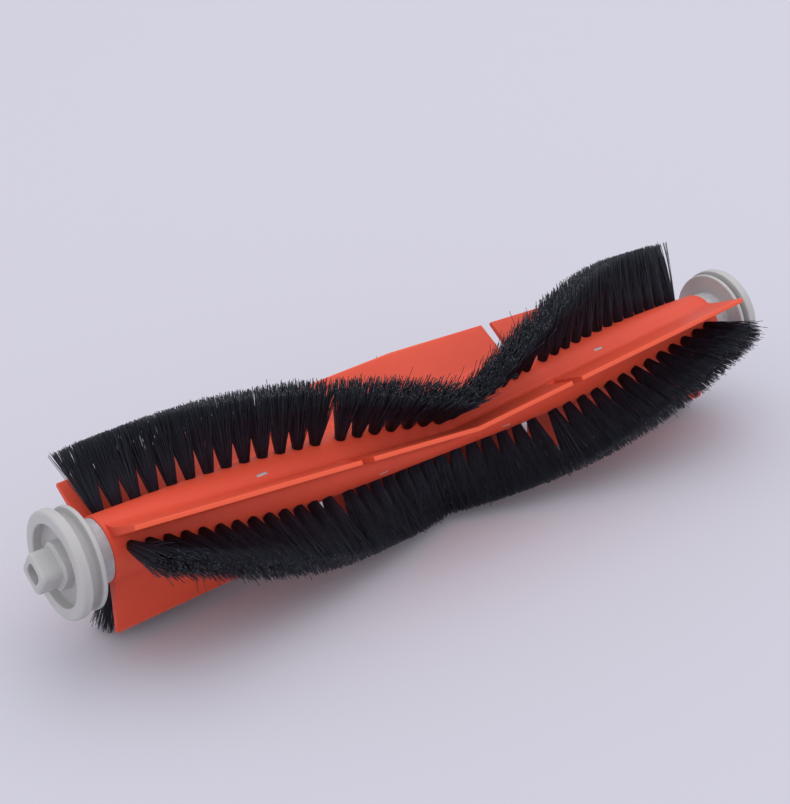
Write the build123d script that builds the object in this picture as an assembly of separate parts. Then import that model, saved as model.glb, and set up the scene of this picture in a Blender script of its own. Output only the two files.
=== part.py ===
from build123d import *
import math
import os

# Roller brush, in millimetres and degrees.
# The roller turns about X, with the drive end at minus X and the bearing end at plus X.
# A turn angle is measured about X, from straight up towards minus Y.

# Bristle rows: each is a V of tufts, swept back from mid-length to both ends
row_count = 3
side_tufts = 13
middle_tufts = 14
tuft_pitch = 3.64
section_gap = 5.33
root_sweep = 54.0
tip_sweep = 46.0
bristle_length = 13.5
merge_height = 5.0
tuft_gap = 0.06
root_width = 1.6
root_depth = 1.6
merge_depth = 3.4
tip_depth = 4.2
tuft_clearance = 0.03
hole_rise = 0.5

# Core bar, with a neck and a spigot at each end
core_diameter = 10.0
tuft_hole_depth = 2.2
neck_step = 0.3
neck_length = 3.5
drive_spigot_side = 5.0
drive_spigot_corner = 0.8
drive_spigot_length = 4.0
bearing_spigot_diameter = 9.0
bearing_spigot_length = 1.2
spigot_clearance = 0.03
pin_seat_length = 20.0

# Flat wire anchors at the floors of the tuft holes
anchor_thickness = 0.3
anchor_clearance = 0.05

# Soft sleeve, with a V shaped blade beside each row
sleeve_wall = 1.5
sleeve_lip = 0.9
moulding_clearance = 0.02
blade_end_margin = 2.83
blade_height = 10.6
blade_tip_thickness = 1.2
blade_root_thickness = 1.7
blade_apex_lead = 14.5
blade_end_lag = 15.8
slot_width = 2.7
slot_floor = 1.2

# Windows in the sleeve, through which pads of the core show
window_length = 2.4
window_width = 0.75
window_depth = 0.15
outer_window_x = 42.7
outer_window_angle = -27.0
inner_window_x = 15.7
inner_window_angle = 57.4
pad_root = 1.0

# Spool shaped end caps
flange_diameter = 20.0
flange_thickness = 1.0
drive_groove_width = 2.2
bearing_groove_width = 1.0
groove_depth = 1.8
groove_round_share = 0.45
disc_diameter = 21.0
disc_thickness = 2.2
rim_bevel = 1.0
rim_width = 2.5
cup_depth = 2.1
edge_break = 0.3

# Square drive peg on its plinth
peg_side = 6.5
peg_corner = 1.0
peg_reach = 4.3
peg_turn = 33.0
peg_hole_side = 3.6
peg_hole_corner = 1.2
peg_hole_depth = 4.0
plinth_side = 8.2
plinth_corner = 2.0

# Bearing end
pin_diameter = 4.0
press_clearance = 0.01
running_clearance = 0.03
washer_diameter = 8.0
washer_thickness = 0.5
thrust_gap = 0.15
bush_diameter = 6.0
block_side = 9.4
block_corner = 2.0
block_reach = 2.8
pocket_diameter = 7.8
pocket_depth = 1.3
clip_diameter = 6.4
clip_thickness = 0.5
clip_groove_depth = 0.4
clip_mouth = 2.6
clip_clearance = 0.02

# Places worked out from the sizes above
pitch_angle = 360 / row_count
core_radius = core_diameter / 2
sleeve_radius = core_radius + sleeve_wall
neck_radius = sleeve_radius - neck_step
tuft_root_depth = sleeve_wall + tuft_hole_depth
tuft_tip_radius = sleeve_radius + bristle_length
row_radius = (sleeve_radius + tuft_tip_radius) / 2
blade_tip_radius = sleeve_radius + blade_height
blade_apex_angle = root_sweep + blade_apex_lead
blade_end_angle = pitch_angle - root_sweep - blade_end_lag
blade_turn = (blade_apex_angle + blade_end_angle) / 2
blade_swing = math.radians(blade_apex_angle - blade_turn)
blade_shift = blade_tip_radius * math.sin(blade_swing)
blade_tip_level = blade_tip_radius * math.cos(blade_swing)
middle_end_x = (middle_tufts - 1) / 2 * tuft_pitch
side_start_x = middle_end_x + section_gap
row_end_x = side_start_x + (side_tufts - 1) * tuft_pitch
row_slope = math.radians(root_sweep + tip_sweep) * row_radius / row_end_x
slot_x = (middle_end_x + side_start_x) / 2
blade_end_x = row_end_x + blade_end_margin
sleeve_end_x = blade_end_x + sleeve_lip
neck_end_x = sleeve_end_x + neck_length
flange_end_x = neck_end_x + flange_thickness
drive_disc_end_x = flange_end_x + drive_groove_width + disc_thickness
bearing_disc_end_x = flange_end_x + bearing_groove_width + disc_thickness
drive_floor_x = drive_disc_end_x - cup_depth
bearing_floor_x = bearing_disc_end_x - cup_depth
peg_end_x = drive_disc_end_x + peg_reach
pin_radius = pin_diameter / 2
pin_start_x = neck_end_x - pin_seat_length
pin_end_x = peg_end_x
washer_end_x = bearing_floor_x + washer_thickness
block_start_x = washer_end_x + thrust_gap
block_end_x = bearing_disc_end_x + block_reach
pocket_floor_x = block_end_x - pocket_depth
clip_start_x = pocket_floor_x + thrust_gap
clip_end_x = clip_start_x + clip_thickness


def rod(radius, start, end):
    return Pos((start + end) / 2, 0, 0) * Cylinder(radius, end - start, rotation=(0, 90, 0))


def square_bar(side, corner, start, end, turn):
    face = Plane((start, 0, 0), x_dir=(0, 1, 0), z_dir=(1, 0, 0)) * RectangleRounded(side, side, corner)
    return Rot(turn, 0, 0) * extrude(face, end - start)


def flat_sided(rings):
    outlines = [rings[0], rings[-1]]
    for low, high in zip(rings, rings[1:]):
        for i in range(len(low)):
            outlines.append([low[i - 1], low[i], high[i], high[i - 1]])
    return Solid(Shell([Face(Wire.make_polygon(outline, close=True)) for outline in outlines]))


# Bristle tufts: bundles that flare from their holes until they meet, slanted along their row


def tuft_size(height):
    share = (height + tuft_root_depth) / (merge_height + tuft_root_depth)
    width = root_width + share * (tuft_pitch - tuft_gap - root_width)
    depth = root_depth + share * (merge_depth - root_depth)
    return width, depth


def tuft_ring(width, depth, height, side):
    half = width / 2
    slant = side * row_slope * half
    corners = [(half, slant - depth / 2), (half, slant + depth / 2)]
    corners += [(-x, -y) for x, y in corners]
    return [Vector(x, y, height) for x, y in corners]


def tuft_solid(side):
    start = anchor_thickness - tuft_root_depth
    width, depth = tuft_size(merge_height)
    root = tuft_ring(*tuft_size(start), start, side)
    merge = tuft_ring(width, depth, merge_height, side)
    tip = tuft_ring(width, tip_depth, bristle_length, side)
    return flat_sided([root, merge, tip])


def tuft_hole(side):
    rings = []
    for height in (-tuft_root_depth, hole_rise):
        width, depth = tuft_size(height)
        rings.append(tuft_ring(width + 2 * tuft_clearance, depth + 2 * tuft_clearance, height, side))
    return flat_sided(rings)


def tuft_anchor(side):
    width = root_width - 2 * anchor_clearance
    depth = root_depth - 2 * anchor_clearance
    heights = (-tuft_root_depth, anchor_thickness - tuft_root_depth)
    return flat_sided([tuft_ring(width, depth, height, side) for height in heights])


def tuft_place(x, row):
    along = 1 - 2 * abs(x) / row_end_x
    turn = root_sweep * along + row * pitch_angle
    swing = math.radians((tip_sweep - root_sweep) * along)
    reach = tuft_tip_radius * math.cos(swing) - sleeve_radius
    lean = math.degrees(math.atan2(tuft_tip_radius * math.sin(swing), reach))
    return Pos(x, 0, 0) * Rot(turn, 0, 0) * Pos(0, 0, sleeve_radius) * Rot(lean, 0, 0)


def row_sections():
    middle = [i * tuft_pitch - middle_end_x for i in range(middle_tufts)]
    right = [side_start_x + i * tuft_pitch for i in range(side_tufts)]
    left = [-x for x in reversed(right)]
    return {"left": left, "middle": middle, "right": right}


def tuft_pieces(piece, xs, row):
    pair = {side: piece(side) for side in (-1, 1)}
    return [tuft_place(x, row) * pair[-1 if x < 0 else 1] for x in xs]


def every_tuft_hole():
    xs = [x for section in row_sections().values() for x in section]
    return [hole for row in range(row_count) for hole in tuft_pieces(tuft_hole, xs, row)]


# Core bar: tuft holes all along, a neck at each end, and a spigot for each cap


def window_bars(bottom, top):
    places = [(outer_window_x, outer_window_angle), (inner_window_x, inner_window_angle)]
    bar = Pos(0, 0, (bottom + top) / 2) * Box(window_length, window_width, top - bottom)
    bars = []
    for row in range(row_count):
        for x, offset in places:
            turn = Rot(blade_turn + offset + row * pitch_angle, 0, 0)
            bars += [Pos(side * x, 0, 0) * turn * bar for side in (-1, 1)]
    return bars


def roller_core():
    core = rod(core_radius, -neck_end_x, neck_end_x)
    core += rod(neck_radius, -neck_end_x, -sleeve_end_x)
    core += rod(neck_radius, sleeve_end_x, neck_end_x)
    spigot_end_x = neck_end_x + drive_spigot_length
    core += square_bar(drive_spigot_side, drive_spigot_corner, -spigot_end_x, -neck_end_x, peg_turn)
    core += rod(bearing_spigot_diameter / 2, neck_end_x, neck_end_x + bearing_spigot_length)
    core += window_bars(core_radius - pad_root, sleeve_radius - window_depth)
    core -= rod(pin_radius + press_clearance, pin_start_x, bearing_disc_end_x)
    return core - every_tuft_hole()


# Soft sleeve: a tube with blades that all lean one way, each shifted sideways along a V


def blade_section(x):
    shift = blade_shift * (1 - 2 * x / blade_end_x)
    tip = blade_tip_thickness / 2
    root = blade_root_thickness / 2
    side = [(root, 0), (root, sleeve_radius), (tip, blade_tip_level)]
    outline = side + [(-y, z) for y, z in reversed(side)]
    return Wire.make_polygon([Vector(x, y - shift, z) for y, z in outline], close=True)


def blade():
    half = Solid.make_loft([blade_section(0), blade_section(blade_end_x)], ruled=True)
    whole = half + mirror(half, about=Plane.YZ)
    slot_bottom = sleeve_radius + slot_floor
    slot_size = 2 * blade_height
    slot = Pos(0, 0, slot_bottom + slot_size / 2) * Box(slot_width, slot_size, slot_size)
    for side in (-1, 1):
        whole -= Pos(side * slot_x, 0, 0) * slot
    return whole


def blade_sleeve():
    sleeve = rod(sleeve_radius, -sleeve_end_x, sleeve_end_x)
    first = blade()
    for row in range(row_count):
        sleeve += Rot(blade_turn + row * pitch_angle, 0, 0) * first
    sleeve -= rod(core_radius + moulding_clearance, -sleeve_end_x, sleeve_end_x)
    sleeve -= window_bars(core_radius - pad_root, sleeve_radius + sleeve_wall)
    return sleeve - every_tuft_hole()


# End caps: a spool with an inner flange, a groove and a cupped outer disc


def spool(groove_width):
    disc = disc_diameter / 2
    flange = flange_diameter / 2
    hub = min(disc, flange) - groove_depth
    cup = disc - rim_width
    groove_end_x = flange_end_x + groove_width
    disc_end_x = groove_end_x + disc_thickness
    floor_x = disc_end_x - cup_depth
    outline = Polyline((neck_end_x, 0), (neck_end_x, flange), (flange_end_x, flange), (flange_end_x, hub),
                       (groove_end_x, hub), (groove_end_x, disc), (disc_end_x, disc), (disc_end_x, cup),
                       (floor_x, cup), (floor_x, 0), close=True)
    part = revolve(make_face(outline), Axis.X)
    rings = part.edges().filter_by(GeomType.CIRCLE)
    part = chamfer([ring for ring in rings if ring.center().X > groove_end_x and ring.radius > cup], rim_bevel)
    rings = [ring for ring in part.edges().filter_by(GeomType.CIRCLE) if ring.center().X < floor_x]
    bottoms = [ring for ring in rings if abs(ring.radius - hub) < edge_break / 2]
    return fillet(bottoms, groove_round_share * groove_width)


def drive_end_cap():
    cap = mirror(spool(drive_groove_width), about=Plane.YZ)
    cap += square_bar(plinth_side, plinth_corner, -drive_disc_end_x, -drive_floor_x, peg_turn)
    peg = square_bar(peg_side, peg_corner, -peg_end_x, -drive_disc_end_x, peg_turn)
    cap += chamfer(peg.faces().sort_by(Axis.X)[0].edges(), edge_break)
    cap -= square_bar(peg_hole_side, peg_hole_corner, -peg_end_x, peg_hole_depth - peg_end_x, peg_turn)
    socket_side = drive_spigot_side + 2 * spigot_clearance
    socket_end_x = neck_end_x + drive_spigot_length + spigot_clearance
    return cap - square_bar(socket_side, drive_spigot_corner, -socket_end_x, -neck_end_x, peg_turn)


def bearing_end_cap():
    socket_radius = bearing_spigot_diameter / 2 + spigot_clearance
    socket_end_x = neck_end_x + bearing_spigot_length + spigot_clearance
    cap = spool(bearing_groove_width) - rod(socket_radius, neck_end_x, socket_end_x)
    return cap - rod(pin_radius + press_clearance, neck_end_x, bearing_disc_end_x)


# Bearing end: a steel pin, and a block that turns on it and sits in the cradle


def bearing_pin():
    pin = rod(pin_radius, pin_start_x, pin_end_x)
    groove_start = clip_start_x - clip_clearance
    groove_end = clip_end_x + clip_clearance
    groove = rod(pin_diameter, groove_start, groove_end)
    groove -= rod(pin_radius - clip_groove_depth, groove_start, groove_end)
    pin -= groove
    ends = pin.edges().sort_by(Axis.X)
    return chamfer([ends[0], ends[-1]], edge_break)


def thrust_washer():
    washer = rod(washer_diameter / 2, bearing_floor_x, washer_end_x)
    return washer - rod(pin_radius + running_clearance, bearing_floor_x, washer_end_x)


def bearing_bush():
    bush = rod(bush_diameter / 2, block_start_x, pocket_floor_x)
    return bush - rod(pin_radius + running_clearance, block_start_x, pocket_floor_x)


def bearing_block():
    block = square_bar(block_side, block_corner, block_start_x, block_end_x, 0)
    block = chamfer(block.faces().sort_by(Axis.X)[-1].edges(), edge_break)
    block -= rod(bush_diameter / 2 + press_clearance, block_start_x, block_end_x)
    return block - rod(pocket_diameter / 2, pocket_floor_x, block_end_x)


def retaining_clip():
    clip = rod(clip_diameter / 2, clip_start_x, clip_end_x)
    clip -= rod(pin_radius - clip_groove_depth + clip_clearance, clip_start_x, clip_end_x)
    mouth = Pos((clip_start_x + clip_end_x) / 2, 0, clip_diameter / 2)
    return clip - mouth * Box(clip_thickness, clip_mouth, clip_diameter)


def write(name, shape):
    export_step(shape, os.path.join("parts", name + ".step"))


os.makedirs("parts", exist_ok=True)
write("roller_core", roller_core())
write("blade_sleeve", blade_sleeve())
for row in range(row_count):
    anchors = []
    for section, xs in row_sections().items():
        write(f"bristle_row_{row + 1}_{section}", Compound(tuft_pieces(tuft_solid, xs, row)))
        anchors += tuft_pieces(tuft_anchor, xs, row)
    write(f"tuft_anchors_row_{row + 1}", Compound(anchors))
write("drive_end_cap", drive_end_cap())
write("bearing_end_cap", bearing_end_cap())
write("bearing_pin", bearing_pin())
write("thrust_washer", thrust_washer())
write("bearing_bush", bearing_bush())
write("bearing_block", bearing_block())
write("retaining_clip", retaining_clip())
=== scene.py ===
import math

import bmesh
import bpy
from mathutils import Matrix, Vector


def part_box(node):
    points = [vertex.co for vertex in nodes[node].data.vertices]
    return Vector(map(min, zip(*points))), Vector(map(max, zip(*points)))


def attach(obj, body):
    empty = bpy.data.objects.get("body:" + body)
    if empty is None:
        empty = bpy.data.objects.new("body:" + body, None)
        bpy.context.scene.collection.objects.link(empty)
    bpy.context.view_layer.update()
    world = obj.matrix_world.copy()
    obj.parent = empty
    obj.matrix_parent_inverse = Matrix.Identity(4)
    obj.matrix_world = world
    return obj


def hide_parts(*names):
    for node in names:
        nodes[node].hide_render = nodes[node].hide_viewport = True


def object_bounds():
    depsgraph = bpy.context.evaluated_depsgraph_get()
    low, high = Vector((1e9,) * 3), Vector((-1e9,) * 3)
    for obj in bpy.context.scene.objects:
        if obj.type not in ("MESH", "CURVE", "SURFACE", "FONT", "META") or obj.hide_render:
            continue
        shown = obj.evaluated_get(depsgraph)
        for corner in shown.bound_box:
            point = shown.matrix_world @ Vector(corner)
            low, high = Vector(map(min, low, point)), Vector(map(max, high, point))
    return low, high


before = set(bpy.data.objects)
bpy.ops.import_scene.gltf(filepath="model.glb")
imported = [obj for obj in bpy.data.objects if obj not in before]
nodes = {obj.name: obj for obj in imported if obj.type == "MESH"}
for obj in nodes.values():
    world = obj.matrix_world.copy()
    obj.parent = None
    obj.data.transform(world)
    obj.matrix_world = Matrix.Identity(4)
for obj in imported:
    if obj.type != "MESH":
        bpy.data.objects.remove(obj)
cadLow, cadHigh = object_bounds()
rowNumbers = (1, 2, 3)
rowSections = ("left", "middle", "right")
tubeRadius = 0.0065  # outside of the sleeve's tube, where the strands come out

# Node helpers, used by the materials and by the Geometry Nodes trees


def fillSockets(tree, node, sockets):
    for key, value in sockets.items():
        if isinstance(value, bpy.types.NodeSocket):
            tree.links.new(value, node.inputs[key])
        else:
            node.inputs[key].default_value = value


def addNode(tree, kind, sockets=None, **settings):
    made = tree.nodes.new(kind)
    for name, value in settings.items():
        setattr(made, name, value)
    fillSockets(tree, made, sockets or {})
    return made


def mathNode(tree, operation, first, second=0.0):
    return addNode(tree, "ShaderNodeMath", {0: first, 1: second}, operation=operation).outputs[0]


def vectorNode(tree, operation, first, second=None, scale=None):
    sockets = {0: first}
    if second is not None:
        sockets[1] = second
    if scale is not None:
        sockets["Scale"] = scale
    made = addNode(tree, "ShaderNodeVectorMath", sockets, operation=operation)
    return made.outputs["Value" if operation == "LENGTH" else "Vector"]


def rangeNode(tree, value, limits):
    return addNode(tree, "ShaderNodeMapRange", {"Value": value, **limits}).outputs["Result"]


def mixNode(tree, kind, share, first, second):
    sockets = {"Factor": share, "A": first, "B": second}
    return addNode(tree, "ShaderNodeMix", sockets, data_type=kind).outputs["Result"]


def splitPlace(tree, place):
    return addNode(tree, "ShaderNodeSeparateXYZ", {0: place}).outputs


def placeField(tree):
    return addNode(tree, "GeometryNodeInputPosition").outputs[0]


def namedField(tree, name, kind):
    made = addNode(tree, "GeometryNodeInputNamedAttribute", {"Name": name}, data_type=kind)
    return made.outputs["Attribute"]


def storeField(tree, geometry, name, kind, value):
    sockets = {"Geometry": geometry, "Name": name, "Value": value}
    made = addNode(tree, "GeometryNodeStoreNamedAttribute", sockets, data_type=kind, domain="POINT")
    return made.outputs["Geometry"]


def newTree(name, inputs):
    tree = bpy.data.node_groups.new(name, "GeometryNodeTree")
    tree.interface.new_socket("Geometry", in_out="INPUT", socket_type="NodeSocketGeometry")
    for label, kind in inputs.items():
        tree.interface.new_socket(label, in_out="INPUT", socket_type="NodeSocket" + kind)
    tree.interface.new_socket("Geometry", in_out="OUTPUT", socket_type="NodeSocketGeometry")
    source = tree.nodes.new("NodeGroupInput")
    return tree, source.outputs


def closeTree(tree, geometry, material):
    coated = addNode(tree, "GeometryNodeSetMaterial", {"Geometry": geometry, "Material": material})
    sink = tree.nodes.new("NodeGroupOutput")
    tree.links.new(coated.outputs[0], sink.inputs["Geometry"])


def runTree(holder, tree, values):
    modifier = holder.modifiers.new(tree.name, "NODES")
    modifier.node_group = tree
    for item in tree.interface.items_tree:
        if item.in_out == "INPUT" and item.name in values:
            modifier[item.identifier] = values[item.name]
    bakeMesh(holder)


# Mesh helpers


def bakeMesh(holder):
    shown = holder.evaluated_get(bpy.context.evaluated_depsgraph_get())
    mesh = bpy.data.meshes.new_from_object(shown)
    holder.modifiers.clear()
    holder.data = mesh


def meshPiece(name, points, faces, material=None):
    mesh = bpy.data.meshes.new(name)
    mesh.from_pydata(points, [], faces)
    made = bpy.data.objects.new(name, mesh)
    bpy.context.scene.collection.objects.link(made)
    if material:
        mesh.materials.append(material)
    return made


def setNumbers(mesh, name, numbers):
    field = mesh.attributes.new(name, "FLOAT", "POINT")
    field.data.foreach_set("value", numbers)


def setVectors(mesh, name, vectors):
    field = mesh.attributes.new(name, "FLOAT_VECTOR", "POINT")
    field.data.foreach_set("vector", [part for vector in vectors for part in vector])


def ringFaces(ringCount, around, looped):
    faces = []
    for i in range(ringCount if looped else ringCount - 1):
        j = (i + 1) % ringCount
        for k in range(around):
            n = (k + 1) % around
            faces.append((i * around + k, i * around + n, j * around + n, j * around + k))
    return faces


def faceOutward(mesh, sharpAngle, mergeGap=None):
    loose = bmesh.new()
    loose.from_mesh(mesh)
    if mergeGap:
        bmesh.ops.remove_doubles(loose, verts=loose.verts, dist=mergeGap)
    bmesh.ops.recalc_face_normals(loose, faces=loose.faces)
    loose.to_mesh(mesh)
    loose.free()
    mesh.shade_smooth()
    mesh.set_sharp_from_angle(angle=math.radians(sharpAngle))


def roundPoint(start, corner, end, t):
    return start * (1 - t) ** 2 + corner * 2 * t * (1 - t) + end * t ** 2


# Camera, floor and light

viewSettings = {
    "eye": (-0.2137, -0.2680, 0.1921),
    "yaw": 37.42,
    "pitch": 28.6,
    "lens": 87.14,
    "clip": (0.01, 20),
}
stageSettings = {
    "floorReach": 3.0,
    "floorColor": (0.605, 0.602, 0.666, 1),
    "floorRough": 0.9,
    "floorShine": 0.1,
    "worldColor": (0.63, 0.622, 0.66, 1),
    "worldLight": 1.34,  # strength as a light, while the camera and reflections see 1
}
lampSettings = {
    "overhead": {"place": (0.30, 0.10, 0.88), "aim": (0, 0, 0), "size": 1.5, "power": 3.2},
    "side": {"place": (-0.95, -0.2, 0.6), "aim": (0, 0, 0), "size": 1.0, "power": 1.1},
}


def newMaterial(name):
    material = bpy.data.materials.new(name)
    material.use_nodes = True
    tree = material.node_tree
    return material, tree, tree.nodes["Principled BSDF"]


def addCamera():
    data = bpy.data.cameras.new("photoCamera")
    data.lens = viewSettings["lens"]
    data.clip_start, data.clip_end = viewSettings["clip"]
    camera = bpy.data.objects.new("photoCamera", data)
    camera.location = viewSettings["eye"]
    tilt = math.radians(90 - viewSettings["pitch"])
    camera.rotation_euler = (tilt, 0, -math.radians(viewSettings["yaw"]))
    bpy.context.scene.collection.objects.link(camera)
    bpy.context.scene.camera = camera


def addLamps():
    for name, lamp in lampSettings.items():
        data = bpy.data.lights.new(name, "AREA")
        data.shape = "DISK"
        data.size = lamp["size"]
        data.energy = lamp["power"]
        made = bpy.data.objects.new(name, data)
        made.location = lamp["place"]
        aim = Vector(lamp["aim"]) - Vector(lamp["place"])
        made.rotation_euler = aim.to_track_quat("-Z", "Y").to_euler()
        bpy.context.scene.collection.objects.link(made)


def addFloor():
    material, tree, shader = newMaterial("floorPaper")
    fillSockets(tree, shader, {
        "Base Color": stageSettings["floorColor"],
        "Roughness": stageSettings["floorRough"],
        "Specular IOR Level": stageSettings["floorShine"],
    })
    reach = stageSettings["floorReach"]
    corners = ((-reach, -reach), (reach, -reach), (reach, reach), (-reach, reach))
    floor = meshPiece("floor", [(x, y, cadLow.z) for x, y in corners], [(0, 1, 2, 3)], material)


def addWorld():
    world = bpy.data.worlds.new("studio")
    bpy.context.scene.world = world
    world.use_nodes = True
    tree = world.node_tree
    rays = addNode(tree, "ShaderNodeLightPath").outputs
    seen = mathNode(tree, "MAXIMUM", rays["Is Camera Ray"], rays["Is Glossy Ray"])
    strength = rangeNode(tree, seen, {"To Min": stageSettings["worldLight"]})
    background = tree.nodes["Background"]
    fillSockets(tree, background, {"Color": stageSettings["worldColor"], "Strength": strength})
    bpy.context.scene.view_settings.view_transform = "Standard"


addCamera()
addLamps()
addFloor()
addWorld()
print("stage ready")

# Materials

mouldedFinish = {  # what a finish below doesn't set
    "cloud": 140,
    "cloudDetail": 4,
    "grain": 2500,
    "grainDetail": 3,
    "roughSpread": 0.06,
    "bumpDepth": 0.0002,
    "metal": 0,
}
finishes = {
    "capPlastic": {"color": (0.49, 0.485, 0.475), "rough": 0.42, "mottle": 0.05, "bump": 0.04},
    "corePlastic": {"color": (0.46, 0.45, 0.46), "rough": 0.5, "mottle": 0.3, "cloud": 800,
                    "grain": 1600, "bump": 0.12},
    "blockPlastic": {"color": (0.36, 0.36, 0.36), "rough": 0.45, "mottle": 0.06, "bump": 0.05},
    "washerPlastic": {"color": (0.78, 0.78, 0.75), "rough": 0.4, "mottle": 0.04, "bump": 0.04},
    "pinSteel": {"color": (0.58, 0.58, 0.6), "rough": 0.28, "mottle": 0.08,
                 "grain": 900, "bump": 0.03, "metal": 1},
    "anchorWire": {"color": (0.6, 0.45, 0.22), "rough": 0.35, "mottle": 0.1,
                   "grain": 900, "bump": 0.03, "metal": 1},
    "bushBronze": {"color": (0.48, 0.33, 0.18), "rough": 0.4, "mottle": 0.15,
                   "grain": 3000, "bump": 0.08, "metal": 1},
}


def objectCoords(tree):
    return addNode(tree, "ShaderNodeTexCoord").outputs["Object"]


def noiseField(tree, coords, scale, detail, rough=0.5):
    sockets = {"Vector": coords, "Scale": scale, "Detail": detail, "Roughness": rough}
    return addNode(tree, "ShaderNodeTexNoise", sockets).outputs["Fac"]


def bumpField(tree, height, strength, depth):
    sockets = {"Height": height, "Strength": strength, "Distance": depth}
    return addNode(tree, "ShaderNodeBump", sockets).outputs["Normal"]


def shade(color, gain=1):
    return (*[min(1.0, part * gain) for part in color], 1)


def mouldedMaterial(name, changes):
    finish = {**mouldedFinish, **changes}
    material, tree, shader = newMaterial(name)
    coords = objectCoords(tree)
    cloud = noiseField(tree, coords, finish["cloud"], finish["cloudDetail"])
    grain = noiseField(tree, coords, finish["grain"], finish["grainDetail"])
    darker = shade(finish["color"], 1 - finish["mottle"])
    lighter = shade(finish["color"], 1 + finish["mottle"])
    limits = {
        "To Min": finish["rough"] - finish["roughSpread"],
        "To Max": finish["rough"] + finish["roughSpread"],
    }
    fillSockets(tree, shader, {
        "Base Color": mixNode(tree, "RGBA", cloud, darker, lighter),
        "Roughness": rangeNode(tree, grain, limits),
        "Metallic": finish["metal"],
        "Normal": bumpField(tree, grain, finish["bump"], finish["bumpDepth"]),
    })
    return material


rubberFinish = {
    "lit": (0.82, 0.094, 0.043),
    "deep": (0.73, 0.072, 0.035),
    # painted highlight: a lighter orange on the blade tips, standing in for light caught by their rounded
    # edge
    "edge": (0.87, 0.114, 0.050),
    "tipHighlightStart": 0.0166,  # distance from the roller's axis, just below the blade tips, where the painted highlight begins
    "tipHighlightEnd": 0.0168,
    "cloud": 90,
    "cloudDetail": 5,
    "cloudRough": 0.55,
    "grain": 1800,
    "grainDetail": 3,
    "bump": 0.06,
    "bumpDepth": 0.0002,
    "rough": 0.5,
    "shine": 0.3,
}


def rubberMaterial():
    finish = rubberFinish
    material, tree, shader = newMaterial("softOrange")
    coords = objectCoords(tree)
    cloud = noiseField(tree, coords, finish["cloud"], finish["cloudDetail"], finish["cloudRough"])
    grain = noiseField(tree, coords, finish["grain"], finish["grainDetail"])
    tone = mixNode(tree, "RGBA", cloud, shade(finish["deep"]), shade(finish["lit"]))
    # painted highlight: the blade tips, furthest from the axis, are mixed toward the lighter edge colour
    reach = vectorNode(tree, "LENGTH", vectorNode(tree, "MULTIPLY", coords, (0, 1, 1)))
    edge = rangeNode(tree, reach, {"From Min": finish["tipHighlightStart"], "From Max": finish["tipHighlightEnd"]})
    fillSockets(tree, shader, {
        "Base Color": mixNode(tree, "RGBA", edge, tone, shade(finish["edge"])),
        "Roughness": finish["rough"],
        "Specular IOR Level": finish["shine"],
        "Normal": bumpField(tree, grain, finish["bump"], finish["bumpDepth"]),
    })
    return material


bristleFinish = {
    "dark": (0.013, 0.0155, 0.025),
    "pale": (0.033, 0.038, 0.060),
    # painted light: strands lighter at the root, against the shade deep in a tuft, and darker at the tip,
    # against their sheen
    "rootPaintedLight": 1.6,
    "tipPaintedShade": 0.65,
    # painted glints: a pale colour on the very ends of some strands, where they catch light
    "paintedEndGlint": (0.20, 0.21, 0.24),
    "endGlintStart": 0.972,
    "endGlintPower": 5.0,  # the higher, the fewer strand ends catch light
    "rough": 0.45,
    "shine": 0.35,
}


def bristleMaterial():
    finish = bristleFinish
    material, tree, shader = newMaterial("blackNylon")
    tone = addNode(tree, "ShaderNodeAttribute", attribute_name="tone").outputs["Fac"]
    along = addNode(tree, "ShaderNodeAttribute", attribute_name="along").outputs["Fac"]
    paint = mixNode(tree, "RGBA", tone, shade(finish["dark"]), shade(finish["pale"]))
    # painted light: a ramp from the lighter root to the darker tip of each strand
    gain = rangeNode(tree, along, {"To Min": finish["rootPaintedLight"], "To Max": finish["tipPaintedShade"]})
    paintWithPaintedLight = vectorNode(tree, "SCALE", paint, scale=gain)
    # painted glints on the ends of some strands
    ending = rangeNode(tree, along, {"From Min": finish["endGlintStart"]})
    caught = mathNode(tree, "POWER", tone, finish["endGlintPower"])
    share = mathNode(tree, "MULTIPLY", ending, caught)
    fillSockets(tree, shader, {
        "Base Color": mixNode(tree, "RGBA", share, paintWithPaintedLight, shade(finish["paintedEndGlint"])),
        "Roughness": finish["rough"],
        "Specular IOR Level": finish["shine"],
    })
    return material


materials = {name: mouldedMaterial(name, changes) for name, changes in finishes.items()}
materials["softOrange"] = rubberMaterial()
materials["blackNylon"] = bristleMaterial()
nodeFinish = {
    "roller_core": "corePlastic",
    "bearing_pin": "pinSteel",
    "retaining_clip": "pinSteel",
    "thrust_washer": "washerPlastic",
    "bearing_bush": "bushBronze",
    **{f"tuft_anchors_row_{number}": "anchorWire" for number in rowNumbers},
}
for node, finish in nodeFinish.items():
    nodes[node].data.materials.clear()
    nodes[node].data.materials.append(materials[finish])
print("materials ready")

# Bristle rows: each CAD tuft becomes a fan of nylon strands

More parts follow.
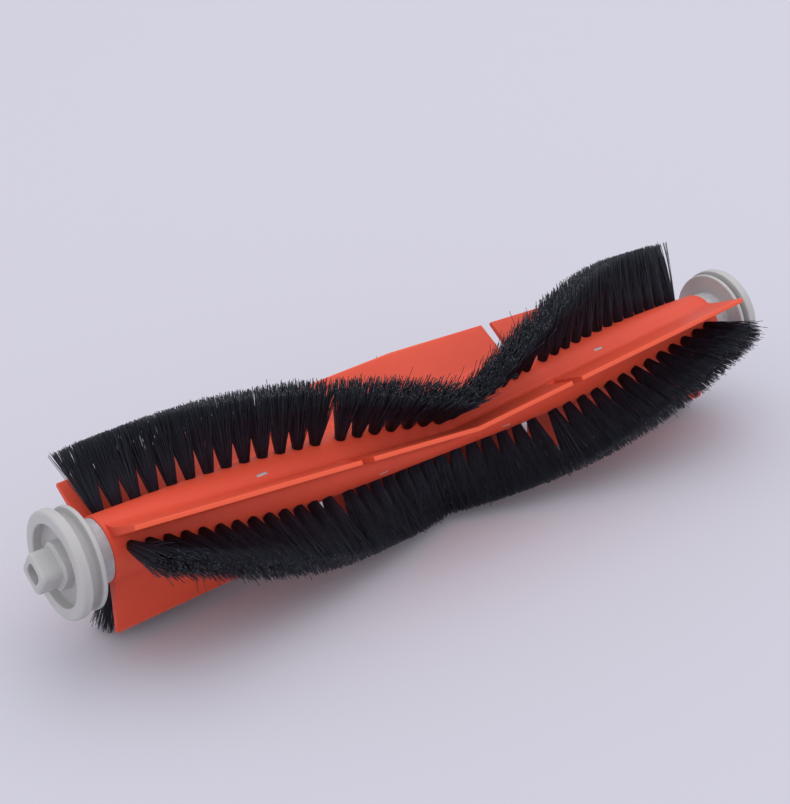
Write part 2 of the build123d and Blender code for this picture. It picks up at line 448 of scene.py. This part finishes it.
bristleSettings = {
    "gapEnds": {12: 0.7, 13: -0.4, 26: 0.4, 27: -0.7},  # tufts beside a gap: how far they splay into it
    "rowEnds": {1: (-1.0, 0.6), 2: (-0.1, 0.3), 3: (-0.6, 0.6)},  # the same for the first and last tuft
    "rowLeans": {1: {36: 0.0007, 37: 0.0014, 38: 0.0023, 39: 0.0033}},  # tips moved along the row
    "values": {
        "Strands per tuft": 220,
        "Root radius": 0.00086,
        "Tip half width": 0.0029,
        "Tip half depth": 0.0024,
        "Flare": 1.16,
        "Length": 0.0135,
        "Middle trim": 0.06,
        "Length spread": 0.012,
        "Sink": 0.001,
        "Strand radius": 0.000065,
        "Steps": 3,
        "Wobble": 0.0007,
        "Frizz": 0.0007,
        "Frizz reach": 0.032,
        "Stray share": 0.035,
        "Stray bend": 0.0028,
        "End splay": 0.0011,
        "Seed": 7,
    },
    "rowValues": {  # what a row has instead
        2: {"Stray bend": 0.0038},
        3: {"Stray bend": 0.0008, "Wobble": 0.0004, "Middle trim": 0.085},
    },
    "seedStep": 100,
    # added to the seed, one for each random choice
    "draws": {"turn": 1, "length": 2, "stray": 4, "strayBend": 5, "bendWay": 6, "tone": 8, "fanWidth": 9},
    "fanWidths": (0.82, 1.12),  # lowest and highest draw, here and in the next two
    "strayBends": (0.3, 1),
    "lengthDraws": (-1, 0.7),
    "ringPower": 0.45,  # 0.5 packs the strands evenly, less crowds the rim
    "squarePower": -0.85,  # 0 leaves the tip of a tuft round, -1 makes it square
    "strandSides": 3,
    "mergeGap": 1e-6,
    "endPoints": 4,  # points of a CAD tuft that are averaged at each end
    "searchSteps": 30,
}


def bristleTree():
    inputs = {name: "Int" if isinstance(value, int) else "Float"
              for name, value in bristleSettings["values"].items()}
    tree, given = newTree("bristleFan", {**inputs, "Material": "Material"})

    def chance(draw, low, high, kind="FLOAT", who=None):
        seed = mathNode(tree, "ADD", given["Seed"], bristleSettings["draws"][draw])
        sockets = {"Min": low, "Max": high, "Seed": seed}
        if who is not None:
            sockets["ID"] = who
        return addNode(tree, "FunctionNodeRandomValue", sockets, data_type=kind).outputs["Value"]

    def total(first, second):
        return mathNode(tree, "ADD", first, second)

    def less(first, second):
        return mathNode(tree, "SUBTRACT", first, second)

    def product(first, second):
        return mathNode(tree, "MULTIPLY", first, second)

    def power(first, second):
        return mathNode(tree, "POWER", first, second)

    def larger(first, second):
        return mathNode(tree, "MAXIMUM", first, second)

    def size(value):
        return mathNode(tree, "ABSOLUTE", value)

    def scaled(vector, factor):
        return vectorNode(tree, "SCALE", vector, scale=factor)

    def together(first, second):
        return vectorNode(tree, "ADD", first, second)

    def apart(first, second):
        return vectorNode(tree, "SUBTRACT", first, second)

    count = given["Strands per tuft"]
    dots = addNode(tree, "GeometryNodeMeshToPoints", {"Mesh": given["Geometry"]}).outputs[0]
    copies = addNode(tree, "GeometryNodeDuplicateElements", {"Geometry": dots, "Amount": count},
                     domain="POINT").outputs
    number = copies["Duplicate Index"]
    index = addNode(tree, "GeometryNodeInputIndex").outputs[0]
    tuft = mathNode(tree, "FLOOR", mathNode(tree, "DIVIDE", index, count))
    axis = namedField(tree, "tuftAxis", "FLOAT_VECTOR")
    rowWay = namedField(tree, "rowWay", "FLOAT_VECTOR")
    ending = namedField(tree, "rowEnd", "FLOAT")
    acrossRow = vectorNode(tree, "NORMALIZE", vectorNode(tree, "CROSS_PRODUCT", axis, rowWay))
    alongRow = vectorNode(tree, "CROSS_PRODUCT", acrossRow, axis)

    # sunflower packing: round at the root, squared at the tip
    goldenTurn = math.pi * (3 - math.sqrt(5))
    filled = mathNode(tree, "DIVIDE", total(number, 0.5), count)
    ring = power(filled, bristleSettings["ringPower"])
    turn = total(product(number, goldenTurn), chance("turn", 0, 2 * math.pi, who=tuft))
    cosine = mathNode(tree, "COSINE", turn)
    sine = mathNode(tree, "SINE", turn)
    sideways = product(ring, cosine)
    depthways = product(ring, sine)
    squared = power(larger(size(cosine), size(sine)), bristleSettings["squarePower"])
    rootPlace = together(scaled(alongRow, sideways), scaled(acrossRow, depthways))
    rootShift = scaled(rootPlace, given["Root radius"])
    outward = larger(product(sideways, ending), 0)
    splay = product(product(outward, ending), given["End splay"])
    aside = total(splay, namedField(tree, "rowLean", "FLOAT"))
    fanWidth = product(given["Tip half width"], chance("fanWidth", *bristleSettings["fanWidths"]))
    tipSide = total(product(product(sideways, squared), fanWidth), aside)
    tipDepth = product(product(depthways, squared), given["Tip half depth"])
    tipShift = together(scaled(alongRow, tipSide), scaled(acrossRow, tipDepth))
    spread = apart(tipShift, rootShift)

    # strands bend more near the middle of the roller, and strays bend most
    far = mathNode(tree, "DIVIDE", size(splitPlace(tree, placeField(tree))["X"]), given["Frizz reach"])
    near = larger(less(1, far), 0)
    loose = total(given["Wobble"], product(near, given["Frizz"]))
    isStray = mathNode(tree, "LESS_THAN", chance("stray", 0, 1), given["Stray share"])
    strayBend = product(given["Stray bend"], chance("strayBend", *bristleSettings["strayBends"]))
    extra = product(isStray, strayBend)
    way = chance("bendWay", (-1, -1, -1), (1, 1, 1), "FLOAT_VECTOR")
    level = apart(way, vectorNode(tree, "PROJECT", way, axis))
    bend = scaled(level, total(loose, extra))
    stretch = product(given["Length spread"], chance("length", *bristleSettings["lengthDraws"]))
    share = less(total(stretch, 1), product(near, given["Middle trim"]))
    length = total(product(given["Length"], share), given["Sink"])

    # what each strand needs to know once it is a mesh
    rooted = apart(rootShift, scaled(axis, given["Sink"]))
    placed = addNode(tree, "GeometryNodeSetPosition", {"Geometry": copies["Geometry"], "Offset": rooted})
    marked = storeField(tree, placed.outputs[0], "bend", "FLOAT_VECTOR", bend)
    marked = storeField(tree, marked, "spread", "FLOAT_VECTOR", spread)
    marked = storeField(tree, marked, "tone", "FLOAT", chance("tone", 0, 1))

    # one strand, from 0 to 1 along Z
    tube = addNode(tree, "GeometryNodeMeshCylinder", {
        "Vertices": bristleSettings["strandSides"], "Side Segments": given["Steps"],
        "Radius": given["Strand radius"], "Depth": 1.0}).outputs["Mesh"]
    raised = addNode(tree, "GeometryNodeTransform", {"Geometry": tube, "Translation": (0, 0, 0.5)})
    height = splitPlace(tree, placeField(tree))["Z"]
    strand = storeField(tree, raised.outputs[0], "along", "FLOAT", height)

    # a strand on each point, then the bend and the fan
    aim = addNode(tree, "FunctionNodeAlignRotationToVector", {"Vector": axis}, axis="Z").outputs[0]
    stretched = addNode(tree, "ShaderNodeCombineXYZ", {0: 1.0, 1: 1.0, 2: length}).outputs[0]
    copied = addNode(tree, "GeometryNodeInstanceOnPoints", {
        "Points": marked, "Instance": strand, "Rotation": aim, "Scale": stretched})
    whole = addNode(tree, "GeometryNodeRealizeInstances", {"Geometry": copied.outputs[0]})
    along = namedField(tree, "along", "FLOAT")
    flare = less(1, power(less(1, along), given["Flare"]))
    curl = together(scaled(namedField(tree, "bend", "FLOAT_VECTOR"), product(along, along)),
                    scaled(namedField(tree, "spread", "FLOAT_VECTOR"), flare))
    bent = addNode(tree, "GeometryNodeSetPosition", {"Geometry": whole.outputs[0], "Offset": curl})
    smooth = addNode(tree, "GeometryNodeSetShadeSmooth", {"Geometry": bent.outputs[0]})
    closeTree(tree, smooth.outputs[0], given["Material"])
    return tree


def tuftAxes(node):
    source = bmesh.new()
    source.from_mesh(nodes[node].data)
    bmesh.ops.remove_doubles(source, verts=source.verts, dist=bristleSettings["mergeGap"])
    ends = bristleSettings["endPoints"]
    found = []
    waiting = set(source.verts)
    while waiting:  # one tuft after the other
        island = [waiting.pop()]
        for vert in island:
            for edge in vert.link_edges:
                other = edge.other_vert(vert)
                if other in waiting:
                    waiting.remove(other)
                    island.append(other)
        ordered = sorted((vert.co for vert in island), key=lambda place: math.hypot(place.y, place.z))
        root = sum(ordered[:ends], Vector()) / ends
        tip = sum(ordered[-ends:], Vector()) / ends
        found.append((root, tip))
    source.free()
    return sorted(found, key=lambda pair: pair[0].x)


def surfacePoint(root, tip):
    low, high = 0.0, 1.0
    for step in range(bristleSettings["searchSteps"]):  # where the tuft's axis leaves the sleeve
        middle = (low + high) / 2
        place = root.lerp(tip, middle)
        if math.hypot(place.y, place.z) < tubeRadius:
            low = middle
        else:
            high = middle
    return root.lerp(tip, low)


def rowWays(tips):
    last = len(tips) - 1
    ways = []
    for i in range(len(tips)):  # the row's run at each tuft, taken within its half of the V
        before, after = max(i - 1, 0), min(i + 1, last)
        if tips[before].x * tips[after].x < 0:
            before, after = (before, i) if tips[i].x < 0 else (i, after)
        ways.append((tips[after] - tips[before]).normalized())
    return ways


def bristleRow(number, tree):
    names = [f"bristle_row_{number}_{section}" for section in rowSections]
    pairs = [pair for name in names for pair in tuftAxes(name)]
    ends = [bristleSettings["gapEnds"].get(i, 0.0) for i in range(len(pairs))]
    ends[0], ends[-1] = bristleSettings["rowEnds"][number]
    rowLeans = bristleSettings["rowLeans"].get(number, {})
    leans = [rowLeans.get(i, 0.0) for i in range(len(pairs))]
    piece = meshPiece(f"bristleRow{number}", [surfacePoint(*pair) for pair in pairs], [])
    setVectors(piece.data, "tuftAxis", [(tip - root).normalized() for root, tip in pairs])
    setVectors(piece.data, "rowWay", rowWays([tip for root, tip in pairs]))
    setNumbers(piece.data, "rowEnd", ends)
    setNumbers(piece.data, "rowLean", leans)
    values = dict(bristleSettings["values"], Material=materials["blackNylon"])
    values["Seed"] += bristleSettings["seedStep"] * number
    values.update(bristleSettings["rowValues"].get(number, {}))
    runTree(piece, tree, values)
    for name in ("bend", "spread", "tuftAxis", "rowWay", "rowEnd", "rowLean"):
        if name in piece.data.attributes:
            piece.data.attributes.remove(piece.data.attributes[name])
    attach(piece, "roller")
    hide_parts(*names)
    print("bristle row", number, len(pairs), "tufts", len(piece.data.polygons), "faces")


fanTree = bristleTree()
for number in rowNumbers:
    bristleRow(number, fanTree)

# Soft sleeve: a tube with three leaning blades, each shifted sideways along a V

sleeveSettings = {
    "tube": tubeRadius,
    "bore": 0.00502,
    "sleeveEnd": 0.0764,
    "lipRound": 0.0003,
    "lipShare": 0.3,  # middle point of the lip's round, as a share of it
    "blades": 3,
    "bladeLevel": 0.01688,
    "tipHalf": 0.00046,
    "tipRound": 0.00015,
    "rootHalf": 0.00085,
    "fillet": 0.0012,
    "kneeShare": 1.02,  # where the fillet's curve turns, as a share of rootHalf
    "bladeEnd": 0.0755,
    "bladeTurn": 59.35,
    "bladeShift": 0.00272,
    "slotPlace": 0.026325,
    "slotWidth": 0.0027,
    "slotLevel": 0.0077,
    "windows": ((0.0427, -27.0), (0.0157, 57.4)),  # place along the roller, degrees from a blade
    "windowSize": (0.0024, 0.0006, 0.004),
    "station": 0.0012,  # about the run between two rings
    "stationGap": 0.00001,  # keeps the rings on both sides of a step apart
    "tipSteps": 3,
    "sideSteps": 7,
    "filletSteps": 7,
    "tubeSteps": 12,
    "mergeGap": 1e-7,
    "sharpAngle": 40,
}
wholeBlade = 1.0  # heights that a blade is cut to: over its tip, and none of it left
noBlade = 0.0


def sleeveProfile():
    sleeve = sleeveSettings
    tube, tip, soft = sleeve["tube"], sleeve["tipHalf"], sleeve["tipRound"]
    shoulder = sleeve["bladeLevel"] - soft
    half = [(0, sleeve["bladeLevel"], 1)]  # from the middle of a tip to the middle between two blades
    for step in range(sleeve["tipSteps"] + 1):
        swing = math.pi / 2 * step / sleeve["tipSteps"]
        half.append((tip - soft + soft * math.sin(swing), shoulder + soft * math.cos(swing), 1))
    top = Vector((tip, shoulder))
    foot = Vector((sleeve["rootHalf"], tube + sleeve["fillet"]))
    for step in range(1, sleeve["sideSteps"] + 1):
        place = top.lerp(foot, step / sleeve["sideSteps"])
        half.append((place.x, place.y, 1))
    landing = (sleeve["rootHalf"] + sleeve["fillet"]) / tube
    land = Vector((tube * math.sin(landing), tube * math.cos(landing)))
    knee = Vector((sleeve["rootHalf"] * sleeve["kneeShare"], tube))
    for step in range(1, sleeve["filletSteps"]):
        t = step / sleeve["filletSteps"]
        place = roundPoint(foot, knee, land, t)
        half.append((place.x, place.y, 1 - t))
    between = math.pi / sleeve["blades"]
    for step in range(sleeve["tubeSteps"] + 1):
        swing = landing + (between - landing) * step / sleeve["tubeSteps"]
        half.append((tube * math.sin(swing), tube * math.cos(swing), 0))
    return [(-side, height, share) for side, height, share in reversed(half[1:-1])] + half


def sleeveStations():
    sleeve = sleeveSettings
    tube, lip, gap = sleeve["tube"], sleeve["lipRound"], sleeve["stationGap"]
    end, bore = sleeve["sleeveEnd"], sleeve["bore"]
    slotLow = sleeve["slotPlace"] - sleeve["slotWidth"] / 2
    slotHigh = sleeve["slotPlace"] + sleeve["slotWidth"] / 2
    stops = [0, slotLow, slotHigh, sleeve["bladeEnd"], end]
    levels = [wholeBlade, sleeve["slotLevel"], wholeBlade, noBlade]
    right = []
    for start, stop, level in zip(stops, stops[1:], levels):
        count = max(2, round((stop - start) / sleeve["station"]))
        run = stop - start - 2 * gap
        right += [(start + gap + run * i / count, level, tube) for i in range(count + 1)]
    right[0] = (0.0, wholeBlade, tube)
    right[-1] = (end, noBlade, tube - lip)
    right.insert(-1, (end - lip * sleeve["lipShare"], noBlade, tube - lip * sleeve["lipShare"]))
    left = [(-x, level, reach) for x, level, reach in reversed(right[1:])]
    return left + right + [(end, noBlade, bore), (-end, noBlade, bore)]


def sleevePoint(side, height, share, level, reach):
    tube = sleeveSettings["tube"]
    if share == 0:  # between the blades
        return side * reach / tube, height * reach / tube, 0
    if level == noBlade:
        return side, math.sqrt(max(reach ** 2 - side ** 2, 0)), 0
    return side, min(height, level), share


def shiftTree():
    tree, given = newTree("shiftBlades", {
        "Blade turn": "Float", "Blade shift": "Float", "Blade end": "Float",
        "Tube": "Float", "Material": "Material"})

    def turnedAbout(place, angle):
        sockets = {"Vector": place, "Angle": angle}
        return addNode(tree, "ShaderNodeVectorRotate", sockets, rotation_type="X_AXIS").outputs[0]

    place = placeField(tree)
    along = mathNode(tree, "ABSOLUTE", splitPlace(tree, place)["X"])
    share = mathNode(tree, "DIVIDE", along, given["Blade end"])
    doubled = mathNode(tree, "MULTIPLY", share, 2)
    fold = mathNode(tree, "SUBTRACT", 1, doubled)  # 1 at the middle of the roller, -1 at the blade ends
    shift = mathNode(tree, "MULTIPLY", given["Blade shift"], fold)
    aside = addNode(tree, "ShaderNodeCombineXYZ", {1: mathNode(tree, "MULTIPLY", shift, -1)}).outputs[0]
    moved = vectorNode(tree, "ADD", place, aside)
    swing = mathNode(tree, "ARCSINE", mathNode(tree, "DIVIDE", shift, given["Tube"]))
    bladeShare = namedField(tree, "bladeShare", "FLOAT")
    mixed = mixNode(tree, "VECTOR", bladeShare, turnedAbout(place, swing), moved)
    firstTurn = mathNode(tree, "RADIANS", given["Blade turn"])
    angle = mathNode(tree, "ADD", firstTurn, namedField(tree, "bladeTurn", "FLOAT"))
    put = addNode(tree, "GeometryNodeSetPosition", {
        "Geometry": given["Geometry"], "Position": turnedAbout(mixed, angle)})
    whole = addNode(tree, "GeometryNodeRealizeInstances", {"Geometry": put.outputs[0]})
    closeTree(tree, whole.outputs[0], given["Material"])
    return tree


def windowCutter():
    sleeve = sleeveSettings
    raised = Matrix.Translation((0, 0, sleeve["tube"]))
    size = Matrix.Diagonal((*sleeve["windowSize"], 1))
    cutter = bmesh.new()
    for row in range(sleeve["blades"]):
        for x, offset in sleeve["windows"]:
            degrees = sleeve["bladeTurn"] + offset + 360 / sleeve["blades"] * row
            turn = Matrix.Rotation(math.radians(degrees), 4, "X")
            for side in (-1, 1):
                place = Matrix.Translation((side * x, 0, 0)) @ turn @ raised
                bmesh.ops.create_cube(cutter, size=1, matrix=place @ size)
    made = meshPiece("windowCutter", [], [])
    cutter.to_mesh(made.data)
    cutter.free()
    return made


def bladeSleeve():
    sleeve = sleeveSettings
    profile = sleeveProfile()
    stations = sleeveStations()
    points, shares, turns = [], [], []
    for x, level, reach in stations:
        for row in range(sleeve["blades"]):
            for corner in profile:
                side, height, share = sleevePoint(*corner, level, reach)
                points.append((x, -side, height))
                shares.append(share)
                turns.append(math.radians(360 / sleeve["blades"] * row))
    faces = ringFaces(len(stations), sleeve["blades"] * len(profile), looped=True)
    piece = meshPiece("bladeSleeve", points, faces)
    setNumbers(piece.data, "bladeShare", shares)
    setNumbers(piece.data, "bladeTurn", turns)
    runTree(piece, shiftTree(), {
        "Blade turn": sleeve["bladeTurn"], "Blade shift": sleeve["bladeShift"],
        "Blade end": sleeve["bladeEnd"], "Tube": sleeve["tube"], "Material": materials["softOrange"]})
    cutter = windowCutter()
    cut = piece.modifiers.new("windows", "BOOLEAN")
    cut.operation, cut.solver, cut.object = "DIFFERENCE", "EXACT", cutter
    bakeMesh(piece)
    bpy.data.objects.remove(cutter)
    faceOutward(piece.data, sleeve["sharpAngle"], sleeve["mergeGap"])
    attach(piece, "roller")
    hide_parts("blade_sleeve")
    print("blade sleeve", len(piece.data.polygons), "faces")


bladeSleeve()

# End caps and bearing block: stacks of rings with rounded edges

ringSettings = {"around": 96, "cornerSteps": 10, "roundSteps": 5, "sharpAngle": 50}
capSettings = {
    "inner": 0.0799,
    "innerReach": 0.005,
    "flange": (0.0100, 0.0010),  # radius, width
    "hub": 0.0082,
    "driveGroove": 0.0022,
    "bearingGroove": 0.0010,
    "grooveShare": 0.45,  # round at the groove's floor, as a share of its width
    "disc": (0.0105, 0.0022),  # radius, width
    "cup": (0.0080, 0.0021),  # radius, depth
    "cupShare": 0.85,
    "rimRound": 0.0007,
    "edgeRound": 0.00035,
    "plinth": (0.0041, 0.0026),  # half width, corner
    "peg": (0.00325, 0.0014, 0.0043),  # half width, corner, reach past the disc
    "pegRound": 0.0008,
    "pegHole": (0.0018, 0.0012, 0.0040),  # half width, corner, depth
    "pegSoft": 0.0003,
    "pegTurn": 33.0,
    "leastCorner": 0.0001,
    "pinHole": 0.00201,
    "pinWeb": 0.0005,
}


def softLine(corners):
    steps = ringSettings["roundSteps"]
    line = []
    for i, (along, reach, fillet) in enumerate(corners):
        here = Vector((along, reach))
        if fillet == 0:
            line.append(here)
            continue
        before = Vector(corners[i - 1][:2])
        after = Vector(corners[i + 1][:2])
        start = here + (before - here).normalized() * fillet
        end = here + (after - here).normalized() * fillet
        line += [roundPoint(start, here, end, step / steps) for step in range(steps + 1)]
    return line


def circleRing(reach):
    count = ringSettings["around"]
    swings = [2 * math.pi * i / count for i in range(count)]
    return [(reach * math.cos(swing), reach * math.sin(swing)) for swing in swings]


def squareRing(half, corner):
    arc = ringSettings["cornerSteps"]
    flat = (ringSettings["around"] // 4 - arc) // 2
    straight = half - corner
    side = [(half, straight * i / flat) for i in range(flat)]  # half of a flat
    for i in range(arc + 1):
        swing = math.pi / 2 * i / arc
        side.append((straight + corner * math.cos(swing), straight + corner * math.sin(swing)))
    side += [(straight * (1 - i / flat), half) for i in range(1, flat)]  # and half of the next one
    ring = []
    for quarter in range(4):
        cosine, sine = math.cos(math.pi / 2 * quarter), math.sin(math.pi / 2 * quarter)
        ring += [(y * cosine - z * sine, y * sine + z * cosine) for y, z in side]
    return ring


def circleStack(line):
    return [(place.x, circleRing(place.y)) for place in line]


def squareStack(line, half, corner, leastCorner):
    return [(place.x, squareRing(place.y, max(leastCorner, corner - half + place.y))) for place in line]


def stackPiece(name, rings, material, hasHole=False):
    count = ringSettings["around"]
    points = [(x, y, z) for x, ring in rings for y, z in ring]
    faces = ringFaces(len(rings), count, looped=hasHole)
    if not hasHole:
        faces.append(tuple(range(count)))
        faces.append(tuple(range(len(points) - count, len(points))))
    piece = meshPiece(name, points, faces, material)
    faceOutward(piece.data, ringSettings["sharpAngle"])
    evenly = piece.modifiers.new("evenShading", "WEIGHTED_NORMAL")
    evenly.keep_sharp = True
    return piece


def spoolLine(groove):
    cap = capSettings
    edge = cap["edgeRound"]
    deep = groove * cap["grooveShare"]
    flangeReach, flangeWidth = cap["flange"]
    discReach, discWidth = cap["disc"]
    cupReach, cupDepth = cap["cup"]
    flangeEnd = cap["inner"] + flangeWidth
    grooveEnd = flangeEnd + groove
    discEnd = grooveEnd + discWidth
    cupFloor = discEnd - cupDepth
    line = softLine([
        (cap["inner"], cap["innerReach"], 0), (cap["inner"], flangeReach, edge),
        (flangeEnd, flangeReach, edge), (flangeEnd, cap["hub"], deep), (grooveEnd, cap["hub"], deep),
        (grooveEnd, discReach, edge), (discEnd, discReach, cap["rimRound"]),
        (discEnd, cupReach, edge), (cupFloor, cupReach, edge), (cupFloor, cupReach * cap["cupShare"], 0),
    ])
    return line, cupFloor, discEnd


def driveCap():
    cap = capSettings
    spool, cupFloor, discEnd = spoolLine(cap["driveGroove"])
    plinthHalf, plinthCorner = cap["plinth"]
    pegHalf, pegCorner, pegReach = cap["peg"]
    holeHalf, holeCorner, holeDepth = cap["pegHole"]
    pegEnd = discEnd + pegReach
    holeFloor = pegEnd - holeDepth
    soft, least = cap["pegSoft"], cap["leastCorner"]
    plinth = softLine([(cupFloor, plinthHalf + 2 * soft, 0), (cupFloor, plinthHalf, soft),
                       (discEnd, plinthHalf, soft), (discEnd, pegHalf, 0)])
    peg = softLine([(discEnd, plinthHalf, 0), (discEnd, pegHalf, soft),
                    (pegEnd, pegHalf, cap["pegRound"]), (pegEnd, holeHalf, 0)])
    hole = softLine([(pegEnd, pegHalf, 0), (pegEnd, holeHalf, soft),
                     (holeFloor, holeHalf, soft), (holeFloor, holeHalf / 2, 0)])
    rings = circleStack(spool)
    rings += squareStack(plinth[:-1], plinthHalf, plinthCorner, least)
    rings += squareStack(peg[1:-1], pegHalf, pegCorner, least)
    rings += squareStack(hole[1:], holeHalf, holeCorner, least)
    rings = [(-x, ring) for x, ring in rings]  # on the roller's other end
    piece = stackPiece("driveCap", rings, materials["capPlastic"])
    piece.data.transform(Matrix.Rotation(math.radians(cap["pegTurn"]), 4, "X"))
    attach(piece, "roller")
    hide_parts("drive_end_cap")


def bearingCap():
    cap = capSettings
    spool, cupFloor = spoolLine(cap["bearingGroove"])[:2]
    hole = circleRing(cap["pinHole"])
    rings = circleStack(spool) + [(cupFloor, hole), (cap["inner"] + cap["pinWeb"], hole)]
    piece = stackPiece("bearingCap", rings, materials["capPlastic"])
    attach(piece, "roller")
    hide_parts("bearing_end_cap")


driveCap()
bearingCap()
print("end caps ready")

blockSettings = {
    "half": 0.0047,
    "corner": 0.002,
    "leastCorner": 0.0002,
    "edge": 0.0003,
    "pocket": (0.0039, 0.0013),  # radius, depth
    "pocketRound": 0.0002,
    "bushHole": 0.00301,
    "innerShare": 0.8,  # where each face's flat begins, as a share of the half width
    "outerShare": 0.9,
}


def bearingBlock():
    block = blockSettings
    low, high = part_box("bearing_block")
    half, edge, soft = block["half"], block["edge"], block["pocketRound"]
    pocketReach, pocketDepth = block["pocket"]
    pocketFloor = high.x - pocketDepth
    outer = softLine([(low.x, half * block["innerShare"], 0), (low.x, half, edge),
                      (high.x, half, edge), (high.x, half * block["outerShare"], 0)])
    pocket = softLine([(high.x, half * block["outerShare"], 0), (high.x, pocketReach, soft),
                       (pocketFloor, pocketReach, soft), (pocketFloor, block["bushHole"], 0)])
    rings = [(low.x, circleRing(block["bushHole"]))]
    rings += squareStack(outer, half, block["corner"], block["leastCorner"])
    rings += circleStack(pocket[1:])
    piece = stackPiece("bearingBlock", rings, materials["blockPlastic"], hasHole=True)
    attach(piece, "bearing")
    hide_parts("bearing_block")


bearingBlock()
print("bearing block ready")
